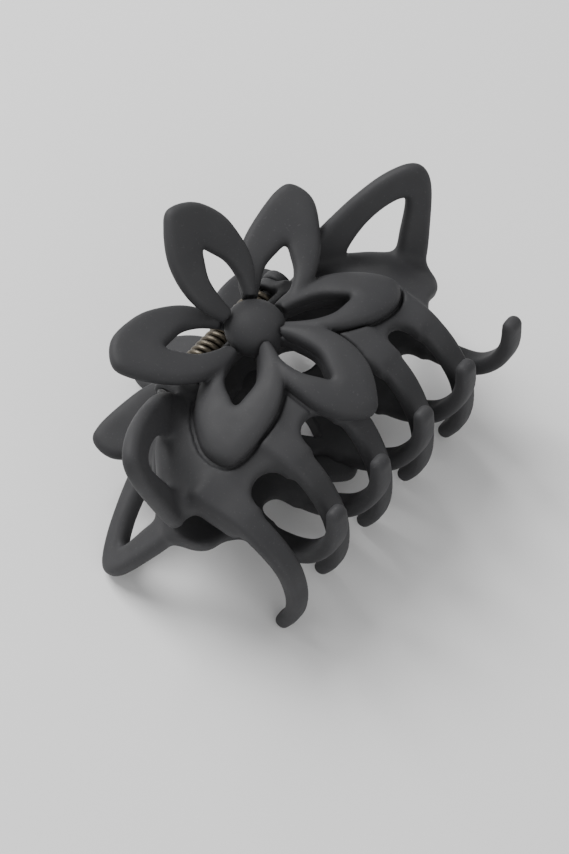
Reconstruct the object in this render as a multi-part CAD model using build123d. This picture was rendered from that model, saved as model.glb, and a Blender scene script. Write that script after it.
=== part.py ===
from build123d import *
import math
import os

# Claw clip with a six petal flower on each half, in millimetres.
# Clip frame while modelling: X runs along the hinge, Z points at the finger petals,
# and the outer face of the upper half looks toward -Y. The lower half is the same
# moulding turned half a turn about Z. Both are laid down on the lower half at the end.

# hinge
AXIS_Z = 4.8
PIN_R = 1.3
PIN_LENGTH = 30.8
HEAD_R = 2.0
HEAD_T = 0.6
RUN_CLEARANCE = 0.06
LUG_R = 2.9
LUG_W = 2.0
LUG_INNER_X = 11.3
LUG_OUTER_X = 13.4

# jaw shell
WALL = 2.8
BOW_TOP = 0.0075
BOW_LOW = 0.0093
PLATE_TOP_Z = 3.4
TOP_Y = 5.9
BULGE_Z = -15.5
BULGE_Y = 13.8
SIDE_X = 37.0
ARCH_Z = -17.2
LEG_TIP_Z = -34.5

# teeth
TEETH = 5
TOOTH_PITCH = 11.82
TOOTH_SHIFT = -3.5
ROOT_W = 5.2
TIP_W = 3.4

# ears, the open corner loops
EAR_T = 2.8
EAR_BASE = Vector(22.5, -4.8, -0.5)
EAR_ALONG = Vector(0.740, 0.056, -0.670)
EAR_UP = Vector(0.343, -0.889, 0.304)

# flower
PETAL_Y = 7.6
HUB_R = 5.2
HUB_RIM = 1.8
HUB_RISE = 5.2
HUB_FOOT = 1.6
SEATED_W = (6.2, 7.0)
FREE_W = (6.5, 8.2)
SEATED_PETALS = [(-28.6, 26.1), (-90.0, 24.2), (-151.4, 26.1)]
FREE_PETALS = [(26.3, 27.6, 11.1), (90.0, 25.4, 36.0), (153.7, 26.5, 11.1)]
PETAL_T = 2.8
PETAL_LIFT = 1.9
HOLE_START = 3.6
HOLE_END = 16.4
HOLE_SHIFT = -1.0
HOLE_W = (2.6, 2.6)

# spring
WIRE_R = 0.55
COIL_R = 2.45
COIL_LENGTH = 21.0
FULL_COILS = 17
LEG_REACH = 8.3
LEG_RISE = 4.7

# lie of the clip on the table, turned about X
LAY_ANGLE = -79.2


def tooth_x(index):
    """Centre of one tooth along the hinge."""
    return (index - (TEETH - 1) / 2) * TOOTH_PITCH + TOOTH_SHIFT


def outward(z):
    """How far the outer face stands off the middle plane at x = 0, for the plate part."""
    rise = (PLATE_TOP_Z - z) / (PLATE_TOP_Z - BULGE_Z)
    return TOP_Y + (BULGE_Y - TOP_Y) * math.sin(rise * math.pi / 2)


def bow(x, z):
    """How far the face curves back at one x."""
    share = min(max(z / BULGE_Z, 0.0), 1.0)
    return (BOW_TOP + (BOW_LOW - BOW_TOP) * share) * x * x


def side_profile(x, offset=0.0):
    """Points (y, z) down the outer face at one x: plate, then the hooked tooth."""
    root = BULGE_Y - bow(x, BULGE_Z)
    points = [(outward(z) - bow(x, z), z) for z in (PLATE_TOP_Z, -1.0, -5.5, -10.5, BULGE_Z)]
    long = min(max((abs(x) - 18.0) / 9.0, 0.0), 1.0)
    points += [(root * 0.90 + 1.3, -20.8), (root * 0.68 + 1.1, -26.1), (root * 0.26 + 0.7, -30.8)]
    points += [(-3.2, -33.2 - 0.5 * long), (-8.8, -33.6 - 0.9 * long)]
    points += [(-14.6 - 0.4 * long, -32.2 - long)]
    moved = []
    for i, (y, z) in enumerate(points):
        before = points[max(i - 1, 0)]
        after = points[min(i + 1, len(points) - 1)]
        dy = after[0] - before[0]
        dz = after[1] - before[1]
        length = math.hypot(dy, dz)
        moved.append((y - dz / length * offset, z + dy / length * offset))
    return moved


def shell_band(inner, outer, last=11):
    """Solid between two offsets of the curved outer face, over the whole width."""
    faces = []
    for x in (-SIDE_X, -24.0, -12.0, 0.0, 12.0, 24.0, SIDE_X):
        near = [Vector(x, -y, z) for y, z in side_profile(x, outer)[:last]]
        far = [Vector(x, -y, z) for y, z in side_profile(x, inner)[:last]]
        edges = [
            Spline(*near),
            Line(near[-1], far[-1]),
            Spline(*reversed(far)),
            Line(far[0], near[0]),
        ]
        faces.append(make_face(Wire(edges)))
    return loft(faces)


def through(sketch, reach=45.0):
    """Prism of a sketch drawn in the X-Z view, cut right through the clip."""
    return extrude(Plane.XZ * sketch, amount=reach, both=True)


def mirrored(points):
    """The same points on the other side of the clip, in reverse order."""
    return [(-x, z) for x, z in reversed(points)]


def leaf(start, length, widths, belly):
    """Pointed leaf along +X from start, with a width for each of its two sides."""
    foot = (start, 0.0)
    tip = (length, 0.0)
    middle = start + (length - start) * belly
    left = Spline(foot, (middle, widths[0]), tip, tangents=[(0.25, 1.0), (0.55, -1.0)])
    right = Spline(tip, (middle, -widths[1]), foot, tangents=[(-0.55, -1.0), (-0.25, 1.0)])
    return make_face(Wire([left, right]))


def window():
    """Tear shaped opening of a petal."""
    return Pos(0, HOLE_SHIFT) * leaf(HOLE_START, HOLE_END, HOLE_W, 0.45)


def petal(length, widths):
    """Leaf with its window, drawn along +X from the flower centre."""
    return leaf(1.0, length, widths, 0.56) - window()


def jaw_outline():
    """Front view of the plate with its five teeth."""
    top = [(0.0, 3.0), (10.0, 3.2), (16.0, 3.2), (19.0, 2.8), (22.0, 1.4), (25.5, -0.6), (30.6, -6.4)]
    corner = [(33.9, -11.6), (33.0, -14.8)]
    right = [(30.5, -16.8), (26.4, -17.4), (23.2, -19.6), (22.2, -24.0)]
    last = tooth_x(TEETH - 1) + TIP_W / 2
    first = tooth_x(0) - TIP_W / 2
    left = [(first, LEG_TIP_Z), (-29.8, -23.0), (-30.3, -18.2), (-30.5, -13.4), (-32.0, -11.0)]
    ring = top + corner + right + [(last, LEG_TIP_Z)] + left
    ring += mirrored(top[1:])
    return make_face(Polyline(*ring, close=True))


def tooth_gap(index):
    """Open window between tooth index and the next one, round at the top."""
    left = tooth_x(index)
    right = tooth_x(index + 1)
    arch_r = (TOOTH_PITCH - ROOT_W) / 2
    middle = (left + right) / 2
    spring_z = ARCH_Z - arch_r
    sides = Polyline(
        (left + ROOT_W / 2, spring_z),
        (left + TIP_W / 2, LEG_TIP_Z),
        (left + TIP_W / 2, LEG_TIP_Z - 8.0),
        (right - TIP_W / 2, LEG_TIP_Z - 8.0),
        (right - TIP_W / 2, LEG_TIP_Z),
        (right - ROOT_W / 2, spring_z),
        close=True,
    )
    return make_face(sides) + Pos(middle, spring_z) * Circle(arch_r)


def ear(side):
    """Open corner loop that stands off one end of the plate."""
    outline = Polyline(
        (-5.2, -1.8), (-3.6, 4.0), (-0.6, 8.8), (2.6, 12.8), (6.4, 16.2), (10.2, 18.0), (13.0, 17.8),
        (14.6, 15.6), (15.6, 11.6), (16.4, -0.6), (15.2, -2.6), close=True,
    )
    window = Polyline(
        (1.6, 0.9), (3.4, 5.8), (6.4, 9.6), (9.6, 11.8), (10.9, 11.0), (10.7, 5.6), (10.2, 0.9),
        close=True,
    )
    plane = Plane(EAR_BASE, x_dir=EAR_ALONG, z_dir=EAR_ALONG.cross(EAR_UP))
    solid = extrude(plane * make_face(outline), amount=EAR_T / 2, both=True)
    solid -= extrude(plane * make_face(window), amount=EAR_T, both=True)
    if side < 0:
        solid = mirror(solid, about=Plane.YZ)
    return solid


def lug(x_low, bore_r):
    """Hinge ear on the inside of the plate."""
    arm = Polyline(
        (0.6, AXIS_Z + LUG_R - 0.2), (-5.0, 3.2), (-6.2, -0.5), (-6.0, -3.0),
        (1.2, AXIS_Z - LUG_R + 0.4), close=True,
    )
    ring = Pos(0, AXIS_Z) * Circle(LUG_R)
    bore = Pos(0, AXIS_Z) * Circle(bore_r)
    profile = make_face(arm) + ring - bore
    return Pos(x_low, 0, 0) * extrude(Plane.YZ * profile, amount=LUG_W)


def jaw(bore_r):
    """One moulded half without its flower."""
    body = shell_band(-WALL, 0.0) & through(jaw_outline())
    for index in range(TEETH - 1):
        body -= through(tooth_gap(index))
    for angle, length in SEATED_PETALS:
        body -= through(Rot(0, 0, angle) * window())
    inner_cut = shell_band(-WALL - 7.0, -WALL, 5)
    for side in (1, -1):
        body += ear(side) - inner_cut
    body += lug(LUG_INNER_X, bore_r)
    body += lug(-LUG_OUTER_X - LUG_W, bore_r)
    return body


def free_petal(angle, length, lean):
    """Petal that stands clear of the plate and flares outward."""
    turn = math.radians(angle)
    tilt = math.radians(lean)
    out = Vector(math.cos(turn), 0, math.sin(turn))
    along = out * math.cos(tilt) + Vector(0, -1, 0) * math.sin(tilt)
    side = out.cross(Vector(0, 1, 0))
    plane = Plane(Vector(0, -PETAL_Y, 0), x_dir=along, z_dir=along.cross(side))
    return extrude(plane * petal(length, FREE_W), amount=PETAL_T / 2, both=True)


def hub():
    """Round button at the flower centre."""
    crown = Spline(
        (0, HUB_RISE),
        (HUB_R * 0.7, HUB_RIM + (HUB_RISE - HUB_RIM) * 0.71),
        (HUB_R, HUB_RIM),
        tangents=[(1, 0), (0, -1)],
    )
    foot = Polyline((HUB_R, HUB_RIM), (HUB_R, -HUB_FOOT), (0, -HUB_FOOT), (0, HUB_RISE))
    half = make_face(crown + foot)
    return Pos(0, -PETAL_Y, 0) * Rot(0, 0, 180) * revolve(Plane.XY * half, Axis.Y)


def flower(body):
    """Six petals and the round centre, seated on the plate."""
    layer = shell_band(-1.0, PETAL_LIFT, 8)
    seated = Sketch() + [Rot(0, 0, angle) * petal(length, SEATED_W) for angle, length in SEATED_PETALS]
    bloom = (layer & through(seated)) + hub()
    for angle, length, lean in FREE_PETALS:
        bloom += free_petal(angle, length, lean)
    bloom -= body
    return bloom.solids().sort_by(SortBy.VOLUME)[-1]


def pin():
    """Hinge pin with a low head at each end."""
    turn = Rot(0, 90, 0)
    rod = turn * Cylinder(PIN_R, PIN_LENGTH)
    for side in (1, -1):
        rod += Pos(side * (PIN_LENGTH + HEAD_T) / 2, 0, 0) * turn * Cylinder(HEAD_R, HEAD_T)
    return Pos(0, 0, AXIS_Z) * rod


def spring():
    """Closing spring: a coil round the pin and one leg behind each half's side petal."""
    swing = math.atan2(LEG_RISE, LEG_REACH) - math.asin(COIL_R / math.hypot(LEG_REACH, LEG_RISE))
    turns = FULL_COILS - swing / math.pi
    helix = Helix(COIL_LENGTH / turns, COIL_LENGTH, COIL_R, center=(0, 0, -COIL_LENGTH / 2))
    mouth = Plane(helix @ 0, z_dir=helix % 0)
    coil = sweep(mouth * Circle(WIRE_R), path=helix, is_frenet=True)
    wire = Rot(0, 90, 0) * Rot(0, 0, 180 + math.degrees(swing)) * coil
    for side in (1, -1):
        foot = Vector(side * COIL_LENGTH / 2, side * COIL_R * math.sin(swing), COIL_R * math.cos(swing))
        tip = Vector(side * COIL_LENGTH / 2, -side * LEG_REACH, LEG_RISE)
        run = tip - foot
        wire += extrude(Plane(foot, z_dir=run) * Circle(WIRE_R), amount=run.length)
        wire += Pos(foot) * Sphere(WIRE_R)
    return Pos(0, 0, AXIS_Z) * wire


over = Rot(0, 0, 180)
upper_jaw = jaw(PIN_R + RUN_CLEARANCE)
lower_jaw = jaw(PIN_R)
nodes = {
    "upper_jaw": upper_jaw,
    "upper_flower": flower(upper_jaw),
    "lower_jaw": over * lower_jaw,
    "lower_flower": over * flower(lower_jaw),
    "hinge_pin": pin(),
    "torsion_spring": spring(),
}
nodes = {name: Rot(LAY_ANGLE, 0, 0) * node for name, node in nodes.items()}
boxes = [node.bounding_box() for node in nodes.values()]
mid_x = (min(b.min.X for b in boxes) + max(b.max.X for b in boxes)) / 2
mid_y = (min(b.min.Y for b in boxes) + max(b.max.Y for b in boxes)) / 2
home = Pos(-mid_x, -mid_y, -min(b.min.Z for b in boxes))
os.makedirs("parts", exist_ok=True)
for name, node in nodes.items():
    export_step(home * node, f"parts/{name}.step")
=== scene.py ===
import math

import bmesh
import bpy
import numpy as np
from mathutils import Matrix, Vector


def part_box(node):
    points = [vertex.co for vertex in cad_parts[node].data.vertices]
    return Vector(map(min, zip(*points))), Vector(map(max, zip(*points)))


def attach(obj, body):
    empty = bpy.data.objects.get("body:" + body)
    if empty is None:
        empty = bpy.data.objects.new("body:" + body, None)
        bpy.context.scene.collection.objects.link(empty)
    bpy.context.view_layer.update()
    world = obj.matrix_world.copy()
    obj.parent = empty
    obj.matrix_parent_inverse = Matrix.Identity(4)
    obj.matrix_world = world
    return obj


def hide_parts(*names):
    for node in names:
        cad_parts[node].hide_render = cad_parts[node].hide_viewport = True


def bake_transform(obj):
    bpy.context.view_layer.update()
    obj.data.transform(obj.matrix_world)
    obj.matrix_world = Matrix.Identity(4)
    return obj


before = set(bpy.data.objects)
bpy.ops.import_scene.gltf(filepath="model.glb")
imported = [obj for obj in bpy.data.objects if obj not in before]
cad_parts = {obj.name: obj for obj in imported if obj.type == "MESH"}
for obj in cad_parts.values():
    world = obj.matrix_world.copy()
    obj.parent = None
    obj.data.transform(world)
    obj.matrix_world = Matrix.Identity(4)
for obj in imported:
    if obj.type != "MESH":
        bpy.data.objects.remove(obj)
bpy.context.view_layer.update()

# Clip frame in millimetres: x along the hinge, y outward from the upper half, z toward the
# finger petals. Each half is drawn as a solid field on a grid, so that every junction gets
# the soft moulded rounding, and is then laid down into the row frame.
LAY = math.radians(-79.2)
AXIS_Z = 4.8
PIN = 500 * (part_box("hinge_pin")[0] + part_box("hinge_pin")[1])
HOME = (0.0, PIN.y + AXIS_Z * math.sin(LAY), PIN.z - AXIS_Z * math.cos(LAY))
WALL = 2.8
BOW_TOP, BOW_LOW = 0.0075, 0.0093
TOP_Z, TOP_Y = 3.4, 5.9
BULGE_Z, BULGE_Y = -15.5, 13.8

# Teeth, with the round top of the gaps between them.
TEETH, TOOTH_PITCH, TOOTH_SHIFT = 5, 11.82, -3.5
TOOTH_X = [(i - (TEETH - 1) / 2) * TOOTH_PITCH + TOOTH_SHIFT for i in range(TEETH)]
ROOT_W, TIP_W = 5.2, 3.4
ARCH_Z = -17.2
ARCH_R = (TOOTH_PITCH - ROOT_W) / 2

# Open corner loop: where it starts, and its two drawing directions.
EAR_BASE = (22.5, 4.8, -0.5)
EAR_ALONG = np.array([0.740, -0.056, -0.670])
EAR_UP = np.array([0.343, 0.889, 0.304])
EAR_HALF = 1.4

# Knuckles: the upper half runs on the pin, the lower half grips it.
LUG_X = (11.3, -15.4)
LUG_R, LUG_W = 2.9, 2.0
BORES = {"upper": 1.36, "lower": 1.3}

# Petals that lie on the plate: angle, length, window shift. The free ones add lean and widths.
SEATED_W = (6.2, 7.0)
SEATED = [(-28.6, 26.1, -0.9), (-93.0, 25.0, -1.4), (-151.4, 26.1, -0.7)]
FREE = [(26.3, 27.6, -1.5, 11.1, (5.7, 7.6)),
        (90.0, 25.4, -0.9, 36.0, (6.5, 8.2)),
        (153.7, 26.5, -0.7, 11.1, (6.5, 8.2))]
PETAL_Y = 7.6
RIM_W = 2.6
HUB_R, HUB_Y, HUB_RISE = 5.2, 9.0, 3.75

# Closing spring.
COILS, COIL_R, COIL_HALF = 17, 2.45, 10.5
LEG_REACH, LEG_RISE = 8.3, 4.7
WIRE_R = 0.54

# Photo view, in the clip frame.
CAMERA = (-164.57, 298.332, -77.446)
VIEW_RIGHT = (0.6091, 0.1547, -0.7778)
VIEW_UP = (0.6461, 0.4721, 0.5998)
LENS = 87.93

STEP = 0.32
LOW = np.array([-40.5, -17.5, -36.0])
HIGH = np.array([40.5, 24.0, 23.0])


def spline(points, closed=True, per=8):
    """Smooth curve through a few points."""
    p = np.array(points, float)
    n = len(p)
    out = []
    for i in range(n if closed else n - 1):
        if closed:
            a, b, c, d = (p[(i + k) % n] for k in (-1, 0, 1, 2))
        else:
            a, b, c, d = (p[min(max(i + k, 0), n - 1)] for k in (-1, 0, 1, 2))
        for t in np.arange(per) / per:
            out.append(0.5 * (2 * b + (c - a) * t + (2 * a - 5 * b + 4 * c - d) * t * t
                              + (3 * b - a - 3 * c + d) * t ** 3))
    if not closed:
        out.append(p[-1])
    return np.array(out)


def outline(poly, u, v):
    """Signed distance to a closed outline, negative inside."""
    best = np.full(np.broadcast(u, v).shape, 1e9)
    inside = np.zeros(best.shape, bool)
    for (ax, ay), (bx, by) in zip(poly, np.roll(poly, -1, axis=0)):
        ex, ey = bx - ax, by - ay
        t = np.clip(((u - ax) * ex + (v - ay) * ey) / (ex * ex + ey * ey + 1e-12), 0, 1)
        best = np.minimum(best, (u - ax - t * ex) ** 2 + (v - ay - t * ey) ** 2)
        crosses = (ay > v) != (by > v)
        with np.errstate(divide="ignore", invalid="ignore"):
            inside ^= crosses & (u < ax + (v - ay) * ex / (ey if ey else 1e-12))
    return np.where(inside, -1.0, 1.0) * np.sqrt(best)


def join(a, b, k):
    """Union with a fillet of about k."""
    h = np.maximum(k - np.abs(a - b), 0) / k
    return np.minimum(a, b) - h * h * k / 4


def cut(a, b, k):
    """a with b taken away, its rim rounded by about k."""
    return -join(-a, b, k)


def slab(side, depth, half, r):
    """Plate of an outline with rounded rims."""
    p = side + r
    q = np.abs(depth) - (half - r)
    return np.hypot(np.maximum(p, 0), np.maximum(q, 0)) + np.minimum(np.maximum(p, q), 0) - r


class Sheet:
    """A drawn outline's distance, tabled once and read at any point."""

    def __init__(self, fields, low, high, pitch=0.2):
        self.low = low
        self.pitch = pitch
        u = np.arange(low[0], high[0], pitch)[:, None]
        v = np.arange(low[1], high[1], pitch)[None, :]
        self.tables = [f(u, v) for f in fields]

    def read(self, u, v):
        i = np.clip((u - self.low[0]) / self.pitch, 0, self.tables[0].shape[0] - 1.001)
        j = np.clip((v - self.low[1]) / self.pitch, 0, self.tables[0].shape[1] - 1.001)
        i0, j0 = i.astype(int), j.astype(int)
        fi, fj = i - i0, j - j0
        return [t[i0, j0] * (1 - fi) * (1 - fj) + t[i0 + 1, j0] * fi * (1 - fj)
                + t[i0, j0 + 1] * (1 - fi) * fj + t[i0 + 1, j0 + 1] * fi * fj
                for t in self.tables]


def leaf_outline(length, widths):
    """Leaf from the flower centre, blunter on its second side."""
    left = [(1.6, 0.16), (5.0, 0.58), (9.6, 0.92), (14.4, 1.0), (19.0, 0.85), (length - 2.2, 0.44)]
    right = left[:4] + [(19.0, 0.92), (length - 2.0, 0.56)]
    left = [(a, b * widths[0]) for a, b in left]
    right = [(a, -b * widths[1]) for a, b in right]
    return spline(left + [(length - 0.05, 0.0)] + right[::-1])


def window_outline(shift):
    """Tear shaped opening that runs in under the button."""
    side = [(5.2, 1.5), (8.6, 2.4), (12.0, 2.35), (14.8, 1.1)]
    ring = [(3.4, 0.0)] + side + [(16.4, 0.0)] + [(a, -b) for a, b in reversed(side)]
    return spline([(a, b + shift * min(a / 9.0, 1.0)) for a, b in ring])


def petal_sheet(length, widths, shift):
    leaf, window = leaf_outline(length, widths), window_outline(shift)
    fields = (lambda u, v: outline(leaf, u, v), lambda u, v: outline(window, u, v))
    return Sheet(fields, (-4.0, -11.0), (31.0, 11.0))


def outward(z):
    """How far the outer face stands off the middle plane at x = 0."""
    rise = (TOP_Z - z) / (TOP_Z - BULGE_Z)
    upper = TOP_Y + (BULGE_Y - TOP_Y) * np.sin(np.clip(rise, -0.2, 1) * math.pi / 2)
    return np.where(z > BULGE_Z, upper, BULGE_Y * (1 - 0.0008 * (z - BULGE_Z) ** 2))


def bow(x, z):
    """How far the face curves back at one x."""
    return (BOW_TOP + (BOW_LOW - BOW_TOP) * np.clip(z / BULGE_Z, 0, 1)) * x * x


gx = np.arange(LOW[0], HIGH[0], STEP)[:, None, None]
gy = np.arange(LOW[1], HIGH[1], STEP)[None, :, None]
gz = np.arange(LOW[2], HIGH[2], STEP)[None, None, :]
face = outward(gz) - bow(gx, gz)
slope = np.sqrt(1 + (2 * BOW_LOW * gx) ** 2 + np.gradient(outward(gz[0, 0]), gz[0, 0]) ** 2)
off_face = (gy - face) / slope


def polar(angle, u, v):
    """Places along and across one petal's direction."""
    c, s = math.cos(math.radians(angle)), math.sin(math.radians(angle))
    return u * c + v * s, v * c - u * s


def plate():
    """Curved plate between the ears, arched between the teeth."""
    top = [(0.0, 2.8), (10.0, 2.9), (16.0, 3.0), (19.2, 2.6), (22.0, 1.3), (25.4, -0.7), (30.4, -6.0)]
    corner = [(33.4, -11.4), (32.9, -14.8)]
    right = [(30.4, -16.9), (26.6, -17.5), (23.9, -18.9), (22.0, -21.0)]
    left = [(-24.0, -21.0), (-27.4, -21.0), (-29.4, -20.0), (-29.9, -16.4), (-30.2, -13.2), (-31.7, -10.8)]
    ring = top + corner + right + [(18.6, -21.0)] + left + [(-x, z) for x, z in reversed(top[1:])]
    side = outline(spline(ring, per=5), gx[:, 0], gz[0])
    for x in TOOTH_X[:-1]:
        below = np.maximum(gz[0] - ARCH_Z + ARCH_R, 0)
        arch = np.hypot(gx[:, 0] - x - TOOTH_PITCH / 2, below) - ARCH_R
        side = cut(side, arch, 0.6)
    return slab(side[:, None, :], off_face + WALL / 2, WALL / 2, 0.95)


def tooth(x):
    """Hooked tooth: a rounded strap along a curve, slimmer toward its tip."""
    root = BULGE_Y - bow(x, BULGE_Z)
    long = np.clip((abs(x) - 18) / 9, 0, 1)
    path = spline([(root - 1.2, -12.0), (root - 1.1, -15.5), (root * 0.9 - 0.1, -20.2),
                   (root * 0.68, -25.2), (root * 0.26, -29.6), (-3.2, -31.8 - 0.5 * long),
                   (-8.8, -32.2 - 0.9 * long), (-13.4 - 0.4 * long, -31.1 - long)],
                  closed=False, per=5)
    y, z = gy[0], gz[0]
    best = np.full(np.broadcast(y, z).shape, 1e9)
    along = np.zeros(best.shape)
    for i in range(len(path) - 1):
        a, b = path[i], path[i + 1]
        e = b - a
        t = np.clip(((y - a[0]) * e[0] + (z - a[1]) * e[1]) / (e @ e), 0, 1)
        d = np.hypot(y - a[0] - t * e[0], z - a[1] - t * e[1])
        along = np.where(d < best, (i + t) / (len(path) - 1), along)
        best = np.minimum(best, d)
    half_w = ROOT_W / 2 - (ROOT_W - TIP_W) / 2 * along
    half_t = 1.6 - 0.25 * along
    return slab(np.abs(gx - x) - half_w[None], best[None], half_t[None], 1.1)


def ear(side):
    """Open loop off one end of the plate."""
    e1, e2, e3 = EAR_ALONG, EAR_UP, np.cross(EAR_ALONG, EAR_UP)
    rim = [(-6.6, -1.6), (-5.0, 3.8), (-1.2, 8.8), (2.5, 12.8), (6.4, 16.1), (10.4, 18.0), (13.2, 17.5),
           (15.0, 14.2), (15.9, 7.0), (16.2, -0.4), (14.6, -2.6), (3.0, -2.8)]
    hole = [(1.7, 1.0), (3.4, 5.8), (6.4, 9.6), (9.6, 11.8), (10.9, 11.1), (10.8, 5.6), (10.2, 1.0),
            (6.0, 0.7)]
    rim, hole = spline(rim), spline(hole)
    fields = (lambda u, v: outline(rim, u, v), lambda u, v: outline(hole, u, v))
    sheet = Sheet(fields, (-10.0, -10.0), (24.0, 24.0))
    x, y, z = side * gx - EAR_BASE[0], gy - EAR_BASE[1], gz - EAR_BASE[2]
    u, v = x * e1[0] + y * e1[1] + z * e1[2], x * e2[0] + y * e2[1] + z * e2[2]
    w = x * e3[0] + y * e3[1] + z * e3[2]
    outer, inner = sheet.read(u, v)
    loop = slab(cut(outer, inner, 0.8), w, EAR_HALF, 1.25)
    return cut(loop, off_face + WALL - 0.3, 0.5)


def lug(x_low, bore):
    """Hinge knuckle behind the plate."""
    arm = np.array([(-0.6, 7.5), (5.4, 3.2), (6.6, -0.5), (6.4, -3.0), (-1.2, 2.3)])
    from_axis = np.hypot(gy[0], gz[0] - AXIS_Z)
    side = join(outline(arm, gy[0], gz[0]), from_axis - LUG_R, 0.8)
    side = np.maximum(side, bore - from_axis)
    return slab(side[None], gx - x_low - LUG_W / 2, LUG_W / 2, 0.35)


def seated_petals():
    """Petals that lie on the plate, their windows, and the crease round each in the plate."""
    parts, windows, grooves = [], [], []
    for angle, length, shift in SEATED:
        a, b = polar(angle, gx[:, 0], gz[0])
        leaf, window = petal_sheet(length, SEATED_W, shift).read(a, b)
        ring = np.maximum(leaf, -window)
        crown = 1.8 - 0.55 * (1 - np.clip(-ring / RIM_W, 0, 1)) ** 2
        parts.append(slab(ring[:, None], off_face - 0.2, crown[:, None], 0.75))
        windows.append(window)
        grooves.append(np.abs(leaf - 0.1) - 0.46)
    return parts, windows, grooves


def free_petals():
    """Petals that stand clear and flare outward, a little cupped."""
    parts = []
    for angle, length, shift, lean, widths in FREE:
        t, l = math.radians(angle), math.radians(lean)
        along = np.array([math.cos(t) * math.cos(l), math.sin(l), math.sin(t) * math.cos(l)])
        across = np.array([-math.sin(t), 0, math.cos(t)])
        normal = np.cross(along, across)
        normal *= np.sign(normal[1])
        a, b, c = (gx * e[0] + (gy - PETAL_Y) * e[1] + gz * e[2] for e in (along, across, normal))
        leaf, window = petal_sheet(length, widths, shift).read(a, b)
        ring = np.maximum(leaf, -window)
        crown = 1.4 - 0.35 * (1 - np.clip(-ring / RIM_W, 0, 1)) ** 2
        parts.append(slab(ring, c, crown, 1.05))
    return parts


def net(field):
    """Quads round a field's zero surface, with its crossings averaged per cell."""
    shape = np.array(field.shape)
    inside = field < 0
    offs = [np.array((i, j, k)) for i in (0, 1) for j in (0, 1) for k in (0, 1)]

    def corner(arr, o):
        return arr[o[0]:shape[0] - 1 + o[0], o[1]:shape[1] - 1 + o[1], o[2]:shape[2] - 1 + o[2]]

    count = sum(corner(inside, o).astype(np.int8) for o in offs)
    cells = np.argwhere((count > 0) & (count < 8))
    index = np.full(shape - 1, -1)
    index[tuple(cells.T)] = np.arange(len(cells))
    total, hits = np.zeros((len(cells), 3)), np.zeros(len(cells))
    for a in offs:
        for axis in range(3):
            if a[axis]:
                continue
            b = a.copy()
            b[axis] = 1
            va, vb = (corner(field, o)[tuple(cells.T)] for o in (a, b))
            hit = (va < 0) != (vb < 0)
            t = np.where(hit, va / np.where(hit, va - vb, 1), 0)
            total += np.where(hit[:, None], a + t[:, None] * (b - a), 0)
            hits += hit
    points = cells + total / hits[:, None]
    quads = []
    for axis in range(3):
        u, v = (axis + 1) % 3, (axis + 2) % 3
        here = [slice(1, -1)] * 3
        there = [slice(1, -1)] * 3
        here[axis], there[axis] = slice(0, -1), slice(1, None)
        a, b = inside[tuple(here)], inside[tuple(there)]
        for flip, mask in ((False, a & ~b), (True, b & ~a)):
            at = np.argwhere(mask) + 1
            at[:, axis] -= 1
            ring = []
            for du, dv in ((-1, -1), (0, -1), (0, 0), (-1, 0)):
                q = at.copy()
                q[:, u] += du
                q[:, v] += dv
                ring.append(index[tuple(q.T)])
            quads.append(np.stack(ring[::-1] if flip else ring, 1))
    return points, np.concatenate(quads)


def relax(points, quads, rounds):
    """Even out the surface a little."""
    ends = np.concatenate([quads[:, [0, 1]], quads[:, [1, 2]], quads[:, [2, 3]], quads[:, [3, 0]]])
    degree = np.bincount(ends[:, 0], minlength=len(points)) * 1.0
    for _ in range(rounds):
        mean = np.stack([np.bincount(ends[:, 0], points[ends[:, 1], i], len(points))
                         for i in range(3)], 1) / degree[:, None]
        points = points * 0.5 + mean * 0.5
    return points


def to_row(points, turned):
    """Clip frame (outward y) in millimetres to the row frame in metres."""
    p = np.array(points, float)
    x, y, z = p[:, 0], -p[:, 1], p[:, 2]
    if turned:
        x, y = -x, -y
    c, s = math.cos(LAY), math.sin(LAY)
    return np.stack([x, y * c - z * s + HOME[1], y * s + z * c + HOME[2]], 1) / 1000


def mesh_object(name, points, quads, mat, body, node):
    """Smooth shaded mesh that rides a body and stands in for a node."""
    mesh = bpy.data.meshes.new(name)
    mesh.from_pydata(points.tolist(), [], quads.tolist())
    mesh.materials.append(mat)
    mesh.update()
    made = bmesh.new()
    made.from_mesh(mesh)
    bmesh.ops.recalc_face_normals(made, faces=made.faces)
    made.to_mesh(mesh)
    made.free()
    mesh.polygons.foreach_set("use_smooth", [True] * len(mesh.polygons))
    obj = bpy.data.objects.new(name, mesh)
    bpy.context.scene.collection.objects.link(obj)
    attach(obj, body)
    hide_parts(node)


def noise(nodes, links, coords, scale, detail, low, high):
    """Noise remapped between two values."""
    tex = nodes.new("ShaderNodeTexNoise")
    tex.inputs["Scale"].default_value = scale
    tex.inputs["Detail"].default_value = detail
    links.new(coords, tex.inputs["Vector"])
    span = nodes.new("ShaderNodeMapRange")
    span.inputs["From Min"].default_value = 0.3
    span.inputs["From Max"].default_value = 0.7
    span.inputs["To Min"].default_value = low
    span.inputs["To Max"].default_value = high
    links.new(tex.outputs["Fac"], span.inputs["Value"])
    return span.outputs["Result"]


def base_material(name):
    """New node material with its object coordinates and shader."""
    mat = bpy.data.materials.new(name)
    mat.use_nodes = True
    nodes, links = mat.node_tree.nodes, mat.node_tree.links
    coords = nodes.new("ShaderNodeTexCoord").outputs["Object"]
    return mat, nodes, links, coords, nodes["Principled BSDF"]


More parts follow.
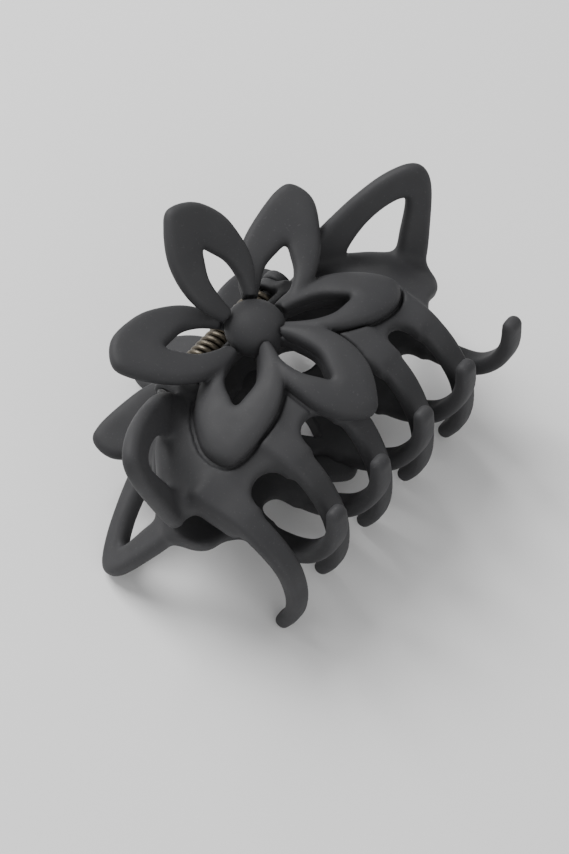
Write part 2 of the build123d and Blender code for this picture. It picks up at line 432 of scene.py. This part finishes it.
def soft_plastic(name):
    """Soft touch charcoal plastic: fine grain, faint cloudy wear, a few pale specks."""
    mat, nodes, links, coords, shader = base_material(name)
    cloud = noise(nodes, links, coords, 90.0, 4.0, 0.0, 1.0)
    mix = nodes.new("ShaderNodeMix")
    mix.data_type = "RGBA"
    mix.inputs["A"].default_value = (0.034, 0.034, 0.0362, 1)
    mix.inputs["B"].default_value = (0.041, 0.041, 0.0428, 1)
    links.new(cloud, mix.inputs["Factor"])
    speck = noise(nodes, links, coords, 2600.0, 1.0, 0.0, 1.0)
    pick = nodes.new("ShaderNodeMath")
    pick.operation = "GREATER_THAN"
    pick.inputs[1].default_value = 0.985
    links.new(speck, pick.inputs[0])
    dust = nodes.new("ShaderNodeMix")
    dust.data_type = "RGBA"
    dust.inputs["B"].default_value = (0.047, 0.047, 0.049, 1)
    links.new(pick.outputs[0], dust.inputs["Factor"])
    links.new(mix.outputs["Result"], dust.inputs["A"])
    links.new(dust.outputs["Result"], shader.inputs["Base Color"])
    links.new(noise(nodes, links, coords, 240.0, 3.0, 0.56, 0.66), shader.inputs["Roughness"])
    bump = nodes.new("ShaderNodeBump")
    bump.inputs["Strength"].default_value = 0.16
    bump.inputs["Distance"].default_value = 0.00004
    links.new(noise(nodes, links, coords, 5200.0, 2.0, 0.0, 1.0), bump.inputs["Height"])
    links.new(bump.outputs["Normal"], shader.inputs["Normal"])
    shader.inputs["Specular IOR Level"].default_value = 0.2
    return mat


def wire_metal(name, dark, light, rough):
    """Drawn metal with draw lines and dull patches."""
    mat, nodes, links, coords, shader = base_material(name)
    mix = nodes.new("ShaderNodeMix")
    mix.data_type = "RGBA"
    mix.inputs["A"].default_value = dark
    mix.inputs["B"].default_value = light
    links.new(noise(nodes, links, coords, 900.0, 5.0, 0.0, 1.0), mix.inputs["Factor"])
    links.new(mix.outputs["Result"], shader.inputs["Base Color"])
    links.new(noise(nodes, links, coords, 1500.0, 3.0, rough, rough + 0.2), shader.inputs["Roughness"])
    bump = nodes.new("ShaderNodeBump")
    bump.inputs["Strength"].default_value = 0.2
    bump.inputs["Distance"].default_value = 0.00003
    links.new(noise(nodes, links, coords, 4000.0, 2.0, 0.0, 1.0), bump.inputs["Height"])
    links.new(bump.outputs["Normal"], shader.inputs["Normal"])
    shader.inputs["Metallic"].default_value = 1.0
    return mat


def halves():
    """Both mouldings, jaw and flower, from one set of fields."""
    plastic = soft_plastic("soft_touch_charcoal")
    solid = plate()
    for x in TOOTH_X:
        solid = join(solid, tooth(x), 1.6)
    for side in (1, -1):
        solid = join(solid, ear(side), 2.2)
    seated, windows, grooves = seated_petals()
    bloom = np.minimum(np.minimum(seated[0], seated[1]), seated[2])
    for part in free_petals():
        bloom = join(bloom, part, 0.5)
    button = np.sqrt((gx / HUB_R) ** 2 + ((gy - HUB_Y) / HUB_RISE) ** 2 + (gz / HUB_R) ** 2)
    crease = np.maximum(np.abs(button - 1.04) * 4.2 - 0.36, 8.1 - gy)
    bloom = np.minimum(cut(bloom, crease, 0.3), (button - 1) * 4.2)
    for window in windows:
        solid = cut(solid, window[:, None] + 0 * gy, 0.5)
    for groove in grooves:
        solid = cut(solid, np.maximum(groove[:, None], -0.6 - off_face), 0.35)
    for body, bore in BORES.items():
        jaw = solid
        for x_low in LUG_X:
            jaw = join(jaw, lug(x_low, bore), 0.8)
        jaw = np.maximum(jaw, bore - np.hypot(gy, gz - AXIS_Z))
        for node, field in (("jaw", jaw), ("flower", bloom)):
            points, quads = net(field.astype(np.float32))
            points = relax(points, quads, 2) * STEP + LOW
            name = f"{body}_{node}"
            laid = to_row(points, body == "lower")
            mesh_object(f"{name}_moulding", laid, quads, plastic, f"{body}_half", name)


def spring_wire():
    """Closing spring as one continuous wire: leg, coil, leg."""
    swing = math.atan2(LEG_RISE, LEG_REACH) - math.asin(COIL_R / math.hypot(LEG_REACH, LEG_RISE))
    start = math.pi + swing
    total = 2 * math.pi * (COILS - swing / math.pi)
    steps = COILS * 28
    coil = []
    for i in range(steps + 1):
        t = i / steps
        a = start + total * t
        x = -COIL_HALF + 2 * COIL_HALF * t
        coil.append((x, -COIL_R * math.sin(a), AXIS_Z - COIL_R * math.cos(a)))
    legs = []
    for side in (-1, 1):
        tip = (side * COIL_HALF, side * LEG_REACH, AXIS_Z + LEG_RISE)
        middle = (side * COIL_HALF, side * LEG_REACH * 0.5, AXIS_Z + LEG_RISE * 0.5 + 1.2)
        legs.append([tip, middle])
    return legs[0] + coil + legs[1][::-1]


def wire_object():
    """The closing spring as a swept mesh that sits between the halves."""
    pts = to_row(spring_wire(), False)
    curve = bpy.data.curves.new("spring_path", "CURVE")
    curve.dimensions = "3D"
    curve.bevel_depth = WIRE_R / 1000
    curve.bevel_resolution = 3
    curve.use_fill_caps = True
    line = curve.splines.new("POLY")
    line.points.add(len(pts) - 1)
    for point, co in zip(line.points, pts):
        point.co = (*co, 1)
    holder = bpy.data.objects.new("spring_path", curve)
    bpy.context.scene.collection.objects.link(holder)
    bpy.context.view_layer.update()
    graph = bpy.context.evaluated_depsgraph_get()
    mesh = bpy.data.meshes.new_from_object(holder.evaluated_get(graph))
    bpy.data.objects.remove(holder)
    mesh.name = "closing_spring"
    mesh.materials.clear()
    bronze = wire_metal("bronzed_wire", (0.065, 0.057, 0.046, 1), (0.16, 0.14, 0.108, 1), 0.36)
    mesh.materials.append(bronze)
    mesh.polygons.foreach_set("use_smooth", [True] * len(mesh.polygons))
    obj = bpy.data.objects.new("closing_spring", mesh)
    bpy.context.scene.collection.objects.link(obj)
    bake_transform(obj)
    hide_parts("torsion_spring")


def pin_object():
    """Hinge pin with low domed heads, turned from a profile."""
    half = [(0.0, 15.98), (0.9, 15.95), (1.5, 15.85), (1.9, 15.7), (1.98, 15.55), (1.7, 15.46),
            (1.28, 15.44)]
    profile = half + [(r, -x) for r, x in reversed(half)]
    made = bmesh.new()
    sides = 40
    rings = []
    for r, x in profile:
        if r == 0:
            rings.append([made.verts.new((x, 0, 0))])
        else:
            turns = [2 * math.pi * k / sides for k in range(sides)]
            rings.append([made.verts.new((x, r * math.cos(a), r * math.sin(a))) for a in turns])
    for a, b in zip(rings, rings[1:]):
        for k in range(sides):
            n = (k + 1) % sides
            if len(a) == 1:
                made.faces.new((a[0], b[k], b[n]))
            elif len(b) == 1:
                made.faces.new((a[k], a[n], b[0]))
            else:
                made.faces.new((a[k], a[n], b[n], b[k]))
    bmesh.ops.recalc_face_normals(made, faces=made.faces)
    mesh = bpy.data.meshes.new("hinge_pin_turned")
    made.to_mesh(mesh)
    made.free()
    co = np.array([v.co for v in mesh.vertices])
    co = to_row(np.stack([co[:, 0], co[:, 1], co[:, 2] + AXIS_Z], 1), False)
    mesh.vertices.foreach_set("co", co.ravel())
    mesh.materials.append(wire_metal("pin_steel", (0.045, 0.045, 0.045, 1), (0.09, 0.09, 0.09, 1), 0.4))
    mesh.polygons.foreach_set("use_smooth", [True] * len(mesh.polygons))
    mesh.update()
    obj = bpy.data.objects.new("hinge_pin_turned", mesh)
    bpy.context.scene.collection.objects.link(obj)
    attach(obj, "lower_half")
    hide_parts("hinge_pin")


def stage():
    """Pale table, a soft key light behind the finger petals, a fill, and the camera."""
    mesh = bpy.data.meshes.new("table_top")
    size = 1.6
    corners = [(-size, -size, 0), (size, -size, 0), (size, size, 0), (-size, size, 0)]
    mesh.from_pydata(corners, [], [(0, 1, 2, 3)])
    mat, nodes, links, coords, shader = base_material("table_paper")
    shader.inputs["Base Color"].default_value = (0.80, 0.80, 0.80, 1)
    links.new(noise(nodes, links, coords, 30.0, 3.0, 0.62, 0.7), shader.inputs["Roughness"])
    mesh.materials.append(mat)
    table = bpy.data.objects.new("table_top", mesh)
    bpy.context.scene.collection.objects.link(table)
    world = bpy.data.worlds.new("studio")
    world.use_nodes = True
    world.node_tree.nodes["Background"].inputs["Color"].default_value = (1, 1, 1, 1)
    world.node_tree.nodes["Background"].inputs["Strength"].default_value = 0.56
    bpy.context.scene.world = world
    for name, place, width, power in (("key", (0.06, 0.50, 0.58), 0.45, 7.6),
                                      ("fill", (-0.34, -0.62, 0.34), 0.7, 2.6)):
        data = bpy.data.lights.new(name, "AREA")
        data.size = width
        data.energy = power
        lamp = bpy.data.objects.new(name, data)
        lamp.location = place
        aim = Vector((0, 0, 0.02)) - Vector(place)
        lamp.rotation_euler = aim.to_track_quat("-Z", "Y").to_euler()
        bpy.context.scene.collection.objects.link(lamp)
    c, s = math.cos(LAY), math.sin(LAY)
    axes = []
    for x, y, z in (VIEW_RIGHT, VIEW_UP):
        axes.append(Vector((x, -y * c - z * s, -y * s + z * c)).normalized())
    right, up = axes
    view = Matrix((right, up, right.cross(up))).transposed().to_4x4()
    view.translation = Vector(to_row([CAMERA], False)[0])
    data = bpy.data.cameras.new("photo_view")
    data.lens = LENS
    data.sensor_width = 36.0
    data.clip_start = 0.01
    camera = bpy.data.objects.new("photo_view", data)
    camera.matrix_world = view
    bpy.context.scene.collection.objects.link(camera)
    bpy.context.scene.camera = camera


halves()
wire_object()
pin_object()
stage()
